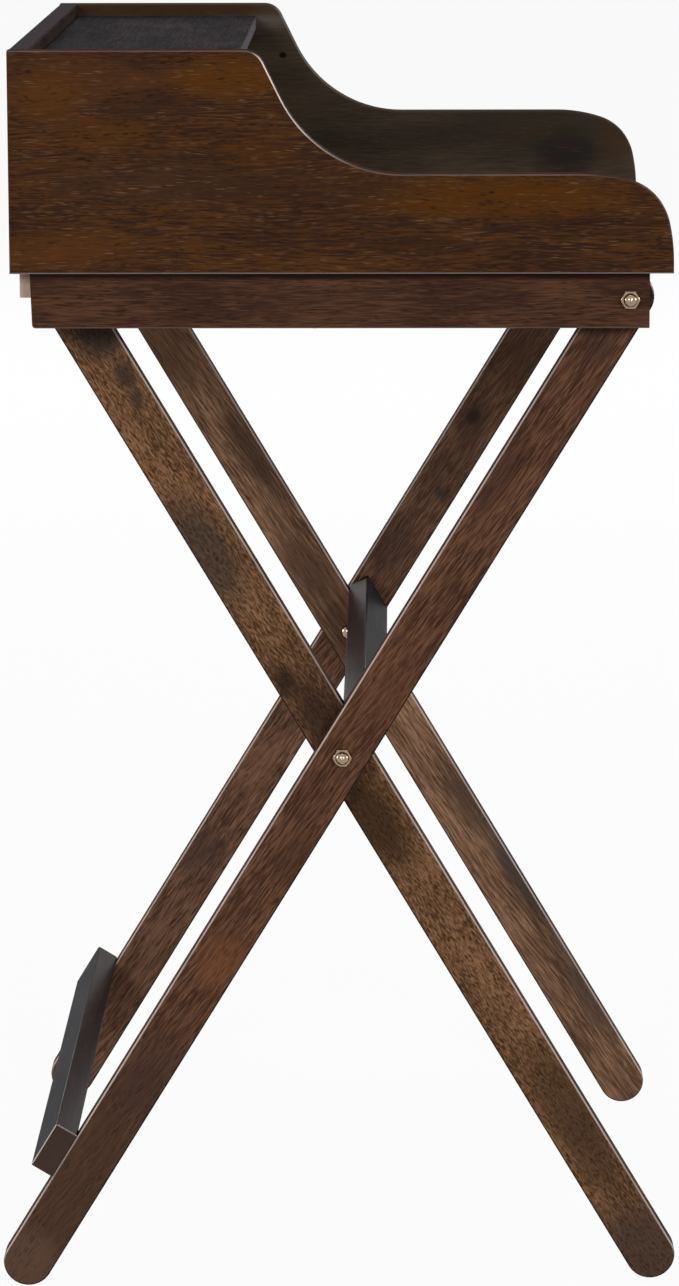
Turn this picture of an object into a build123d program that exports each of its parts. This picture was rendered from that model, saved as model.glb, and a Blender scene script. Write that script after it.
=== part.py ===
from build123d import *
import os
from math import cos, radians, sin, tan

# Folding tray table: a tray with S-shaped sides and a raised back shelf, on crossed folding legs.
# Millimetres. +X is to the right of the person sitting at it, +Y to the back and +Z up.
# The origin is on the floor, in the middle of the footprint.

# Leg stock, the stance of the open legs and the height of the crossing
LEG_WIDTH = 38.0
LEG_THICKNESS = 19.0
LEG_EDGE_CHAMFER = 1.2
OUTER_LEG_ANGLE = 58.6
INNER_LEG_ANGLE = 59.2
CROSSING_HEIGHT = 418.6
CROSSING_TO_TRAY_PIVOT = 411.0

# Tray box
TRAY_WIDTH = 600.0
TRAY_DEPTH = 491.5
TRAY_FRONT_OVERHANG = 32.0
SIDE_THICKNESS = 18.0
SIDE_HEIGHT = 164.5
BACK_THICKNESS = 15.5
DESK_THICKNESS = 15.0
DESK_FRONT_INSET = 5.0
SHELF_THICKNESS = 12.0
SHELF_DEPTH = 151.5
SHELF_DROP = 10.0
SIDE_EDGE_CHAMFER = 1.0
BOARD_EDGE_RADIUS = 1.5

# Outline of the sides: level top, crest, straight slope, hollow, low lip and three-arc nose
SIDE_TOP_LENGTH = 174.0
SIDE_LIP_HEIGHT = 73.5
SLOPE_ANGLE = 63.8
CREST_RADIUS = 16.0
HOLLOW_RADIUS = 99.5
NOSE_TOP_RADIUS = 120.0
NOSE_CORNER_RADIUS = 40.0
NOSE_FRONT_RADIUS = 140.0
NOSE_TOP_ANGLE = 18.5
NOSE_CORNER_ANGLE = 59.0

# Rails and stop cleat under the tray
RAIL_THICKNESS = 19.0
RAIL_HEIGHT = 41.0
RAIL_RECESS = 4.0
RAIL_FRONT_INSET = 17.5
RAIL_BACK_INSET = 14.5
RAIL_BACK_LEAN = 1.5
RAIL_CORNER_RADIUS = 2.5
RAIL_EDGE_CHAMFER = 1.2
CLEAT_HEIGHT = 20.2
CLEAT_DEPTH = 11.0

# Stretchers between the legs, placed along the leg from the crossing
STRETCHER_THICKNESS = 19.0
STRETCHER_EDGE_RADIUS = 1.5
STRETCHER_END_CHAMFER = 0.8
LOWER_STRETCHER_WIDTH = 38.5
LOWER_STRETCHER_DISTANCE = 380.5
MIDDLE_STRETCHER_WIDTH = 34.0
MIDDLE_STRETCHER_DISTANCE = 14.8

# Pivot hardware
BOLT_DIAMETER = 7.9
CAP_ACROSS_FLATS = 12.7
CAP_HEX_HEIGHT = 5.0
CAP_DOME_DIAMETER = 10.6
CAP_DOME_HEIGHT = 4.4
CAP_WALL = 2.0
CAP_CHAMFER = 0.9
PIVOT_HEAD_DIAMETER = 15.0
PIVOT_HEAD_THICKNESS = 3.0
CROSS_HEAD_DIAMETER = 13.0
CROSS_HEAD_HEIGHT = 4.0
WASHER_DIAMETER = 18.0
PIVOT_WASHER_THICKNESS = 1.0
CROSS_WASHER_THICKNESS = 1.5

# Dowels, drawn with flats
DOWEL_SIDE_COUNT = 8
DOWEL_DIAMETER = 6.0
DOWEL_LENGTH = 26.0
DOWEL_DEPTH_IN_BOARD = 10.0
DOWEL_END_INSET = 30.0
DESK_DOWELS_PER_SIDE = 4
STRETCHER_DOWEL_DIAMETER = 8.0
STRETCHER_DOWEL_LENGTH = 25.0
STRETCHER_DOWEL_DEPTH_IN_LEG = 12.0
STRETCHER_DOWEL_SPACING = 16.0

# Clearances
BOLT_CLEARANCE = 0.05
DOWEL_CLEARANCE = 0.05
END_GAP = 0.3
COUNTERBORE_CLEARANCE = 0.4
SIDE_PLAY = 0.1
DESK_CLEARANCE = 0.6
REST_CLEARANCE = 0.3
STRETCHER_CLEARANCE = 0.4

# Stance of the open legs, in the YZ plane
HALF_LEG = LEG_WIDTH / 2
OUTER_ANGLE = radians(OUTER_LEG_ANGLE)
INNER_ANGLE = radians(INNER_LEG_ANGLE)
FOOT_DROP = CROSSING_HEIGHT - HALF_LEG
BACK_REACH = FOOT_DROP / tan(OUTER_ANGLE)
FRONT_REACH = FOOT_DROP / tan(INNER_ANGLE)
CROSSING = Vector(0, (FRONT_REACH - BACK_REACH) / 2, CROSSING_HEIGHT)
OUTER_DOWN = Vector(0, cos(OUTER_ANGLE), -sin(OUTER_ANGLE))
OUTER_BACKWARD = Vector(0, sin(OUTER_ANGLE), cos(OUTER_ANGLE))
INNER_UP = Vector(0, cos(INNER_ANGLE), sin(INNER_ANGLE))
INNER_FORWARD = Vector(0, -sin(INNER_ANGLE), cos(INNER_ANGLE))
TRAY_PIVOT = CROSSING - OUTER_DOWN * CROSSING_TO_TRAY_PIVOT
OUTER_FOOT = Vector(0, CROSSING.Y + BACK_REACH, HALF_LEG)
INNER_FOOT = Vector(0, CROSSING.Y - FRONT_REACH, HALF_LEG)

# Levels and ends of the tray
TRAY_UNDERSIDE = TRAY_PIVOT.Z + HALF_LEG + DESK_CLEARANCE
TRAY_TOP = TRAY_UNDERSIDE + SIDE_HEIGHT
DESK_TOP = TRAY_UNDERSIDE + DESK_THICKNESS
SHELF_TOP = TRAY_TOP - SHELF_DROP
TRAY_FRONT = TRAY_PIVOT.Y - TRAY_FRONT_OVERHANG
TRAY_BACK = TRAY_FRONT + TRAY_DEPTH
BACK_FACE = TRAY_BACK - BACK_THICKNESS
SHELF_FRONT = BACK_FACE - SHELF_DEPTH
INNER_TOP_RISE = TRAY_UNDERSIDE - REST_CLEARANCE - HALF_LEG - CROSSING.Z
INNER_TOP = CROSSING + INNER_UP * (INNER_TOP_RISE / sin(INNER_ANGLE))
RAIL_FRONT = TRAY_FRONT + RAIL_FRONT_INSET
RAIL_BACK = TRAY_BACK - RAIL_BACK_INSET
RAIL_BOTTOM = TRAY_UNDERSIDE - RAIL_HEIGHT
CLEAT_FRONT = INNER_TOP.Y + HALF_LEG + REST_CLEARANCE
CLEAT_BOTTOM = TRAY_UNDERSIDE - CLEAT_HEIGHT

# Faces across the width, from the right side inwards
SIDE_OUTER = TRAY_WIDTH / 2
SIDE_INNER = SIDE_OUTER - SIDE_THICKNESS
RAIL_OUTER = SIDE_OUTER - RAIL_RECESS
RAIL_INNER = RAIL_OUTER - RAIL_THICKNESS
OUTER_LEG_OUTSIDE = RAIL_INNER - PIVOT_WASHER_THICKNESS - SIDE_PLAY
OUTER_LEG_INSIDE = OUTER_LEG_OUTSIDE - LEG_THICKNESS
INNER_LEG_OUTSIDE = OUTER_LEG_INSIDE - CROSS_WASHER_THICKNESS - SIDE_PLAY
INNER_LEG_INSIDE = INNER_LEG_OUTSIDE - LEG_THICKNESS

RIGHTWARD = Vector(1, 0, 0)
BORE_RADIUS = BOLT_DIAMETER / 2 + BOLT_CLEARANCE


def profile_plane(x: float) -> Plane:
    """Return the plane square to X at x, with its own axes along +Y and +Z."""
    return Plane(origin=(x, 0, 0), x_dir=(0, 1, 0), z_dir=(1, 0, 0))


def at_x(point: Vector, x: float) -> Vector:
    """Return a point of the YZ plane moved to x."""
    return Vector(x, point.Y, point.Z)


def rod(start: Vector, direction: Vector, length: float, radius: float) -> Part:
    """Return a plain cylinder that starts at a point and runs along a direction."""
    column = Cylinder(radius, length, align=(Align.CENTER, Align.CENTER, Align.MIN))
    return Plane(origin=start, z_dir=direction) * column


def pair(right: Part) -> Compound:
    """Return a right-hand piece and its mirror image on the left as one group of solids."""
    return Compound(children=[right, mirror(right, about=Plane.YZ)])


def board(low: Vector, high: Vector, edge_radius: float) -> Part:
    """Return a board that runs along X between two corners, with its long edges eased."""
    size = high - low
    block = Pos(*(low + size / 2)) * Box(size.X, size.Y, size.Z)
    return fillet(block.edges().filter_by(Axis.X), edge_radius)


# Dowels, each with the hole that takes it


def flat_sided_pin(start: Vector, direction: Vector, length: float, diameter: float) -> Part:
    """Return a pin with flats all round that starts at a point and runs along a direction."""
    section = Plane(origin=start, z_dir=direction) * RegularPolygon(diameter / 2, DOWEL_SIDE_COUNT)
    return extrude(section, length, dir=direction)


def dowel(centre: Vector, direction: Vector, deep: float, diameter: float, length: float) -> Part:
    """Return a dowel through a joint face, sunk deep against the direction."""
    return flat_sided_pin(centre - direction * deep, direction, length, diameter)


def dowel_hole(centre: Vector, direction: Vector, deep: float, diameter: float, length: float) -> Part:
    """Return the hole for the dowel of the same values, with room at its wall and ends."""
    start = centre - direction * (deep + END_GAP)
    return flat_sided_pin(start, direction, length + 2 * END_GAP, diameter + 2 * DOWEL_CLEARANCE)


def side_dowel_places() -> dict[str, list[Vector]]:
    """Return the dowel centres on the right side's inner face, for each board that it holds."""
    desk_z = TRAY_UNDERSIDE + DESK_THICKNESS / 2
    desk_front = TRAY_FRONT + DESK_FRONT_INSET + DOWEL_END_INSET
    desk_step = (TRAY_BACK - DOWEL_END_INSET - desk_front) / (DESK_DOWELS_PER_SIDE - 1)
    shelf_z = SHELF_TOP - SHELF_THICKNESS / 2
    back_y = TRAY_BACK - BACK_THICKNESS / 2
    return {
        "desk": [Vector(SIDE_INNER, desk_front + index * desk_step, desk_z)
                 for index in range(DESK_DOWELS_PER_SIDE)],
        "shelf": [Vector(SIDE_INNER, y, shelf_z) for y in
                  (SHELF_FRONT + DOWEL_END_INSET, BACK_FACE - DOWEL_END_INSET)],
        "back": [Vector(SIDE_INNER, back_y, z) for z in
                 (DESK_TOP + DOWEL_END_INSET, SHELF_TOP - DOWEL_END_INSET)],
    }


def side_dowels(board_name: str) -> Compound:
    """Return the dowels that join one board to both sides."""
    sunk = DOWEL_LENGTH - DOWEL_DEPTH_IN_BOARD
    pins = [dowel(place, RIGHTWARD, sunk, DOWEL_DIAMETER, DOWEL_LENGTH)
            for place in side_dowel_places()[board_name]]
    return Compound(children=pins + [mirror(pin, about=Plane.YZ) for pin in pins])


def with_side_dowel_holes(shape: Part, board_name: str) -> Part:
    """Return a board between the sides with the holes for its dowels at both ends."""
    sunk = DOWEL_LENGTH - DOWEL_DEPTH_IN_BOARD
    for place in side_dowel_places()[board_name]:
        hole = dowel_hole(place, RIGHTWARD, sunk, DOWEL_DIAMETER, DOWEL_LENGTH)
        shape = shape - hole - mirror(hole, about=Plane.YZ)
    return shape


# Tray boards


def side_outline() -> Sketch:
    """Return the outline of a tray side in its profile plane."""
    drop_of_arcs = (CREST_RADIUS + HOLLOW_RADIUS) * (1 - cos(radians(SLOPE_ANGLE)))
    slope_length = (SIDE_HEIGHT - SIDE_LIP_HEIGHT - drop_of_arcs) / sin(radians(SLOPE_ANGLE))
    nose_front_angle = 90 - NOSE_TOP_ANGLE - NOSE_CORNER_ANGLE
    top_turn = sin(radians(NOSE_TOP_ANGLE))
    corner_turn = sin(radians(NOSE_TOP_ANGLE + NOSE_CORNER_ANGLE))
    nose_length = (NOSE_TOP_RADIUS * top_turn + NOSE_CORNER_RADIUS * (corner_turn - top_turn)
                   + NOSE_FRONT_RADIUS * (1 - corner_turn))
    lip_level = TRAY_UNDERSIDE + SIDE_LIP_HEIGHT

    top = Line((TRAY_BACK, TRAY_TOP), (TRAY_BACK - SIDE_TOP_LENGTH, TRAY_TOP))
    crest = JernArc(top @ 1, top % 1, CREST_RADIUS, SLOPE_ANGLE)
    slope = Line(crest @ 1, crest @ 1 + (crest % 1) * slope_length)
    hollow = JernArc(slope @ 1, slope % 1, HOLLOW_RADIUS, -SLOPE_ANGLE)
    lip = Line(hollow @ 1, (TRAY_FRONT + nose_length, lip_level))
    nose_top = JernArc(lip @ 1, lip % 1, NOSE_TOP_RADIUS, NOSE_TOP_ANGLE)
    nose_corner = JernArc(nose_top @ 1, nose_top % 1, NOSE_CORNER_RADIUS, NOSE_CORNER_ANGLE)
    nose_front = JernArc(nose_corner @ 1, nose_corner % 1, NOSE_FRONT_RADIUS, nose_front_angle)
    square = Polyline(nose_front @ 1, (TRAY_FRONT, TRAY_UNDERSIDE), (TRAY_BACK, TRAY_UNDERSIDE), top @ 0)
    curves = [top, crest, slope, hollow, lip, nose_top, nose_corner, nose_front, square]
    return make_face([edge for curve in curves for edge in curve.edges()])


def right_side_panel() -> Part:
    """Return the right side of the tray, with its outline edges eased."""
    panel = extrude(profile_plane(SIDE_INNER) * side_outline(), SIDE_THICKNESS, dir=RIGHTWARD)
    panel = chamfer(panel.edges().filter_by(Axis.X, reverse=True), SIDE_EDGE_CHAMFER)
    sunk = DOWEL_LENGTH - DOWEL_DEPTH_IN_BOARD
    for places in side_dowel_places().values():
        for place in places:
            panel -= dowel_hole(place, RIGHTWARD, sunk, DOWEL_DIAMETER, DOWEL_LENGTH)
    return panel


def desk_board() -> Part:
    """Return the writing surface between the sides."""
    low = Vector(-SIDE_INNER, TRAY_FRONT + DESK_FRONT_INSET, TRAY_UNDERSIDE)
    surface = board(low, Vector(SIDE_INNER, TRAY_BACK, DESK_TOP), BOARD_EDGE_RADIUS)
    return with_side_dowel_holes(surface, "desk")


def back_panel() -> Part:
    """Return the back, which stands on the desk board between the sides."""
    low = Vector(-SIDE_INNER, BACK_FACE, DESK_TOP)
    panel = board(low, Vector(SIDE_INNER, TRAY_BACK, TRAY_TOP), BOARD_EDGE_RADIUS)
    return with_side_dowel_holes(panel, "back")


def upper_shelf() -> Part:
    """Return the raised shelf in front of the back, let in below the tops of the sides."""
    low = Vector(-SIDE_INNER, SHELF_FRONT, SHELF_TOP - SHELF_THICKNESS)
    shelf = board(low, Vector(SIDE_INNER, BACK_FACE, SHELF_TOP), BOARD_EDGE_RADIUS)
    return with_side_dowel_holes(shelf, "shelf")


def right_rail() -> Part:
    """Return the right rail under the tray, with the leg pivot's bore near its front end."""
    outline = Polyline((RAIL_FRONT, RAIL_BOTTOM), (RAIL_BACK - RAIL_BACK_LEAN, RAIL_BOTTOM),
                       (RAIL_BACK, TRAY_UNDERSIDE), (RAIL_FRONT, TRAY_UNDERSIDE), close=True)
    rail = extrude(profile_plane(RAIL_INNER) * make_face(outline), RAIL_THICKNESS, dir=RIGHTWARD)
    back_corner = rail.edges().filter_by(Axis.X).group_by(Axis.Z)[0].sort_by(Axis.Y)[-1]
    rail = fillet(back_corner, RAIL_CORNER_RADIUS)
    bottom_edges = rail.faces().sort_by(Axis.Z)[0].edges().filter_by(Axis.Y)
    rail = chamfer(bottom_edges, RAIL_EDGE_CHAMFER)
    return rail - rod(at_x(TRAY_PIVOT, RAIL_INNER), RIGHTWARD, RAIL_THICKNESS, BORE_RADIUS)


def rear_cleat() -> Part:
    """Return the stop strip under the back of the tray, which the inner legs' tops lean on."""
    low = Vector(-RAIL_INNER, CLEAT_FRONT, CLEAT_BOTTOM)
    high = Vector(RAIL_INNER, CLEAT_FRONT + CLEAT_DEPTH, TRAY_UNDERSIDE)
    return board(low, high, BOARD_EDGE_RADIUS / 2)


# Legs and stretchers


def leg_blank(top: Vector, foot: Vector, inside: float) -> Part:
    """Return a leg with round ends about two centres, its long edges eased."""
    middle = (top + foot) / 2
    run = foot - top
    lean = Vector(run.Y, run.Z).get_signed_angle(Vector(1, 0), Vector(0, 0, -1))
    outline = Pos(middle.Y, middle.Z) * Rot(0, 0, lean) * SlotCenterToCenter(run.length, LEG_WIDTH)
    leg = extrude(profile_plane(inside) * outline, LEG_THICKNESS, dir=RIGHTWARD)
    return chamfer(leg.edges().filter_by(Axis.X, reverse=True), LEG_EDGE_CHAMFER)


def stretcher_dowel_places(centre: Vector, along: Vector, inside: float) -> list[Vector]:
    """Return the two dowel centres where a stretcher sits on the edge of a right-hand leg."""
    middle = at_x(centre, inside + LEG_THICKNESS / 2)
    half_spacing = along * (STRETCHER_DOWEL_SPACING / 2)
    return [middle - half_spacing, middle + half_spacing]


def stretcher(centre: Vector, outward: Vector, length: float, width: float) -> Part:
    """Return a rounded bar along X that sits on the legs' edges at a centre point."""
    seat = Plane(origin=centre, x_dir=RIGHTWARD, z_dir=outward)
    bar = seat * Box(length, width, STRETCHER_THICKNESS, align=(Align.CENTER, Align.CENTER, Align.MIN))
    bar = fillet(bar.edges().filter_by(Axis.X), STRETCHER_EDGE_RADIUS)
    ends = bar.faces().filter_by(Axis.X)
    return chamfer(ends.edges(), STRETCHER_END_CHAMFER)


def drilled_for_stretcher(shape: Part, places: list[Vector], outward: Vector, both_sides: bool) -> Part:
    """Return a leg or a stretcher with the holes for the dowels that join them."""
    for place in places:
        hole = dowel_hole(place, outward, STRETCHER_DOWEL_DEPTH_IN_LEG,
                          STRETCHER_DOWEL_DIAMETER, STRETCHER_DOWEL_LENGTH)
        shape -= hole
        if both_sides:
            shape -= mirror(hole, about=Plane.YZ)
    return shape


def stretcher_dowels(places: list[Vector], outward: Vector) -> Compound:
    """Return the dowels of one stretcher, on both legs."""
    pins = [dowel(place, outward, STRETCHER_DOWEL_DEPTH_IN_LEG,
                  STRETCHER_DOWEL_DIAMETER, STRETCHER_DOWEL_LENGTH) for place in places]
    return Compound(children=pins + [mirror(pin, about=Plane.YZ) for pin in pins])


LOWER_SEAT = CROSSING + OUTER_DOWN * LOWER_STRETCHER_DISTANCE + OUTER_BACKWARD * HALF_LEG
MIDDLE_SEAT = CROSSING + INNER_UP * MIDDLE_STRETCHER_DISTANCE + INNER_FORWARD * HALF_LEG
LOWER_DOWEL_PLACES = stretcher_dowel_places(LOWER_SEAT, OUTER_DOWN, OUTER_LEG_INSIDE)
MIDDLE_DOWEL_PLACES = stretcher_dowel_places(MIDDLE_SEAT, INNER_UP, INNER_LEG_INSIDE)


def right_outer_leg() -> Part:
    """Return the right outer leg, from the tray pivot at the front to the back foot."""
    leg = leg_blank(TRAY_PIVOT, OUTER_FOOT, OUTER_LEG_INSIDE)
    head_radius = PIVOT_HEAD_DIAMETER / 2 + COUNTERBORE_CLEARANCE
    leg -= rod(at_x(TRAY_PIVOT, OUTER_LEG_INSIDE), RIGHTWARD, LEG_THICKNESS, BORE_RADIUS)
    leg -= rod(at_x(TRAY_PIVOT, OUTER_LEG_INSIDE), RIGHTWARD, PIVOT_HEAD_THICKNESS + SIDE_PLAY, head_radius)
    leg -= rod(at_x(CROSSING, OUTER_LEG_INSIDE), RIGHTWARD, LEG_THICKNESS, BORE_RADIUS)
    return drilled_for_stretcher(leg, LOWER_DOWEL_PLACES, OUTER_BACKWARD, both_sides=False)


def right_inner_leg() -> Part:
    """Return the right inner leg, from its round top under the tray's back to the front foot."""
    leg = leg_blank(INNER_TOP, INNER_FOOT, INNER_LEG_INSIDE)
    leg -= rod(at_x(CROSSING, INNER_LEG_INSIDE), RIGHTWARD, LEG_THICKNESS, BORE_RADIUS)
    return drilled_for_stretcher(leg, MIDDLE_DOWEL_PLACES, INNER_FORWARD, both_sides=False)


def lower_stretcher() -> Part:
    """Return the bar on the back edges of the outer legs, above their feet."""
    bar = stretcher(LOWER_SEAT, OUTER_BACKWARD, 2 * OUTER_LEG_OUTSIDE, LOWER_STRETCHER_WIDTH)
    return drilled_for_stretcher(bar, LOWER_DOWEL_PLACES, OUTER_BACKWARD, both_sides=True)


def middle_stretcher() -> Part:
    """Return the bar on the front edges of the inner legs, which turns between the outer legs."""
    length = 2 * (OUTER_LEG_INSIDE - STRETCHER_CLEARANCE)
    bar = stretcher(MIDDLE_SEAT, INNER_FORWARD, length, MIDDLE_STRETCHER_WIDTH)
    return drilled_for_stretcher(bar, MIDDLE_DOWEL_PLACES, INNER_FORWARD, both_sides=True)


# Pivot hardware


def cap_nut(face: Vector) -> Part:
    """Return a domed hex cap nut on an outside face, threaded over the end of its bolt."""
    axis_plane = Plane(origin=face, x_dir=(0, 1, 0), z_dir=(1, 0, 0))
    hexagon = extrude(RegularPolygon(CAP_ACROSS_FLATS / 2, 6, major_radius=False), CAP_HEX_HEIGHT)
    corner_radius = CAP_ACROSS_FLATS / 2 + CAP_CHAMFER
    trim = chamfer(Cylinder(corner_radius, CAP_HEX_HEIGHT, align=(Align.CENTER, Align.CENTER, Align.MIN))
                   .edges().sort_by(Axis.Z)[-1], CAP_CHAMFER)
    dome_radius = (CAP_DOME_DIAMETER ** 2 / 4 + CAP_DOME_HEIGHT ** 2) / (2 * CAP_DOME_HEIGHT)
    top = CAP_HEX_HEIGHT + CAP_DOME_HEIGHT
    ball = Pos(0, 0, top - dome_radius) * Sphere(dome_radius)
    above_hex = Pos(0, 0, CAP_HEX_HEIGHT) * Cylinder(
        CAP_DOME_DIAMETER / 2, 2 * CAP_DOME_HEIGHT, align=(Align.CENTER, Align.CENTER, Align.MIN))
    hole = Cylinder(BORE_RADIUS, top - CAP_WALL, align=(Align.CENTER, Align.CENTER, Align.MIN))
    return axis_plane * ((hexagon & trim) + (ball & above_hex) - hole)


def bolt_shank(start: Vector, outside: float) -> Part:
    """Return a bolt's shank from its head to just short of the bottom of its cap nut."""
    reach = CAP_HEX_HEIGHT + CAP_DOME_HEIGHT - CAP_WALL - END_GAP
    return rod(start, RIGHTWARD, outside + reach - start.X, BOLT_DIAMETER / 2)


def pivot_bolt() -> Part:
    """Return the tray's pivot bolt, its flat head let into the inner face of the outer leg."""
    start = at_x(TRAY_PIVOT, OUTER_LEG_INSIDE)
    head = rod(start, RIGHTWARD, PIVOT_HEAD_THICKNESS, PIVOT_HEAD_DIAMETER / 2)
    return head + bolt_shank(start, RAIL_OUTER)


def cross_bolt() -> Part:
    """Return the crossing's bolt, its round head on the inner face of the inner leg."""
    under_head = at_x(CROSSING, INNER_LEG_INSIDE - SIDE_PLAY)
    ball_radius = (CROSS_HEAD_DIAMETER ** 2 / 4 + CROSS_HEAD_HEIGHT ** 2) / (2 * CROSS_HEAD_HEIGHT)
    ball = Pos(*(under_head + RIGHTWARD * (ball_radius - CROSS_HEAD_HEIGHT))) * Sphere(ball_radius)
    head = ball & rod(under_head, -RIGHTWARD, CROSS_HEAD_HEIGHT, CROSS_HEAD_DIAMETER / 2)
    return head + bolt_shank(under_head, OUTER_LEG_OUTSIDE)


def washer(face: Vector, thickness: float) -> Part:
    """Return a washer that lies on a face and spaces the piece on its inner side."""
    disc = rod(face, -RIGHTWARD, thickness, WASHER_DIAMETER / 2)
    return disc - rod(face, -RIGHTWARD, thickness, BORE_RADIUS)


def build_nodes() -> dict[str, Part | Compound]:
    """Return every piece by name."""
    side = right_side_panel()
    rail = right_rail()
    outer_leg = right_outer_leg()
    inner_leg = right_inner_leg()
    return {
        "right_side_panel": side,
        "left_side_panel": mirror(side, about=Plane.YZ),
        "back_panel": back_panel(),
        "desk_board": desk_board(),
        "upper_shelf": upper_shelf(),
        "right_rail": rail,
        "left_rail": mirror(rail, about=Plane.YZ),
        "rear_cleat": rear_cleat(),
        "desk_dowels": side_dowels("desk"),
        "shelf_dowels": side_dowels("shelf"),
        "back_dowels": side_dowels("back"),
        "pivot_bolts": pair(pivot_bolt()),
        "pivot_cap_nuts": pair(cap_nut(at_x(TRAY_PIVOT, RAIL_OUTER))),
        "pivot_washers": pair(washer(at_x(TRAY_PIVOT, RAIL_INNER), PIVOT_WASHER_THICKNESS)),
        "right_outer_leg": outer_leg,
        "left_outer_leg": mirror(outer_leg, about=Plane.YZ),
        "lower_stretcher": lower_stretcher(),
        "lower_stretcher_dowels": stretcher_dowels(LOWER_DOWEL_PLACES, OUTER_BACKWARD),
        "cross_bolts": pair(cross_bolt()),
        "cross_cap_nuts": pair(cap_nut(at_x(CROSSING, OUTER_LEG_OUTSIDE))),
        "cross_washers": pair(washer(at_x(CROSSING, OUTER_LEG_INSIDE), CROSS_WASHER_THICKNESS)),
        "right_inner_leg": inner_leg,
        "left_inner_leg": mirror(inner_leg, about=Plane.YZ),
        "middle_stretcher": middle_stretcher(),
        "middle_stretcher_dowels": stretcher_dowels(MIDDLE_DOWEL_PLACES, INNER_FORWARD),
    }


os.makedirs("parts", exist_ok=True)
for name, shape in build_nodes().items():
    export_step(shape, f"parts/{name}.step")
    print(name, round(shape.volume), shape.bounding_box())
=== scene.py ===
"""Folding tray table in stained hardwood: finishes, screws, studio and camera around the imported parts."""

import logging
import math
from dataclasses import dataclass, field, replace
from enum import Enum, IntEnum

import bmesh
import bpy
from bpy.types import Material, Node, NodeSocket, NodeTree, Object
from mathutils import Matrix, Vector


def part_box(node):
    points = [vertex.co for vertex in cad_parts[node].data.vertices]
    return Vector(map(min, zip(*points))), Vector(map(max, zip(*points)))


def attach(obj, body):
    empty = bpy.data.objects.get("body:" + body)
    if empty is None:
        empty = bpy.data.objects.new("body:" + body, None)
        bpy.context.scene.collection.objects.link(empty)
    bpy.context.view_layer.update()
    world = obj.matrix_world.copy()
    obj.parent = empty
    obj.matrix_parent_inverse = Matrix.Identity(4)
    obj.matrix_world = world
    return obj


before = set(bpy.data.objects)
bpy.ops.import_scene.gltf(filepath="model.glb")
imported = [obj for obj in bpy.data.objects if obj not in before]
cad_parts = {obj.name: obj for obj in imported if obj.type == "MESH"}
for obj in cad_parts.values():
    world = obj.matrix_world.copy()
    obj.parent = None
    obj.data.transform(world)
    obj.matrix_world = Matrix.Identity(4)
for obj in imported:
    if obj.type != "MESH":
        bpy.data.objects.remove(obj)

LOG = logging.getLogger("tray_table")
MM = 0.001
PHOTO_HEIGHT = 1286
WHITE = (1.0, 1.0, 1.0, 1.0)
# The slopes of the legs from level, in degrees
OUTER_LEG_ANGLE = 58.6
INNER_LEG_ANGLE = 59.2
# The inputs of a Mix node share names, so they and its colour result are known by their places
SHARE = 0
COLOUR_A = 6
COLOUR_B = 7
COLOUR_RESULT = 2
VALUE_A = 2
VALUE_B = 3


class BoardKind(Enum):
    """How a board lies in the table, which sets the way of its grain and the face that is wide."""

    LEVEL = "across the table, lying flat"
    UPRIGHT = "across the table, standing on edge"
    SIDE = "front to back, its wide face to the side"
    OUTER_LEG = "down an outer leg, from the tray pivot to the back foot"
    INNER_LEG = "up an inner leg, from the front foot to the back of the tray"
    LOWER_BAR = "across the table, on the back edges of the outer legs"
    MIDDLE_BAR = "across the table, on the front edges of the inner legs"


class Layer(IntEnum):
    """A layer of a board's figure, with the number that sets its noise apart from the other layers'."""

    SWAY = 0
    MOTTLE = 3
    STREAK = 5
    FIBRE = 7
    PORES = 11
    PORE_GROUPS = 13
    FLECKS = 17
    SECOND_FACE = 20


@dataclass(frozen=True)
class Fade:
    """The two readings between which an effect goes from nothing to full."""

    nothing: float
    full: float

    def limits(self) -> dict[str, float]:
        """Return the readings under the names that a range node gives them."""
        return {"From Min": self.nothing, "From Max": self.full}


def board_axes(kind: BoardKind) -> Matrix:
    """Return the axes of a board from the way it lies.

    Args:
        kind: How the board lies in the table.

    Returns:
        A rotation whose columns run along the grain, across the wide face and through the thickness.
    """
    outer = math.radians(OUTER_LEG_ANGLE)
    inner = math.radians(INNER_LEG_ANGLE)
    side, back, up = Vector((1, 0, 0)), Vector((0, 1, 0)), Vector((0, 0, 1))
    along, through = {
        BoardKind.LEVEL: (side, up),
        BoardKind.UPRIGHT: (side, back),
        BoardKind.SIDE: (back, side),
        BoardKind.OUTER_LEG: (Vector((0, math.cos(outer), -math.sin(outer))), side),
        BoardKind.INNER_LEG: (Vector((0, math.cos(inner), math.sin(inner))), side),
        BoardKind.LOWER_BAR: (side, Vector((0, math.sin(outer), math.cos(outer)))),
        BoardKind.MIDDLE_BAR: (side, Vector((0, -math.sin(inner), math.cos(inner)))),
    }[kind]
    return Matrix((along, through.cross(along), through)).transposed()


def linear(hex_colour: str) -> tuple[float, float, float, float]:
    """Turn an sRGB hex colour into linear RGBA.

    Args:
        hex_colour: Six hex digits after a hash, such as "#4a2d1c".

    Returns:
        The colour as linear red, green, blue and an alpha of 1.
    """
    channels = [int(hex_colour[start:start + 2], 16) / 255 for start in (1, 3, 5)]
    red, green, blue = [c / 12.92 if c <= 0.04045 else ((c + 0.055) / 1.055) ** 2.4 for c in channels]
    return red, green, blue, 1.0


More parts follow.
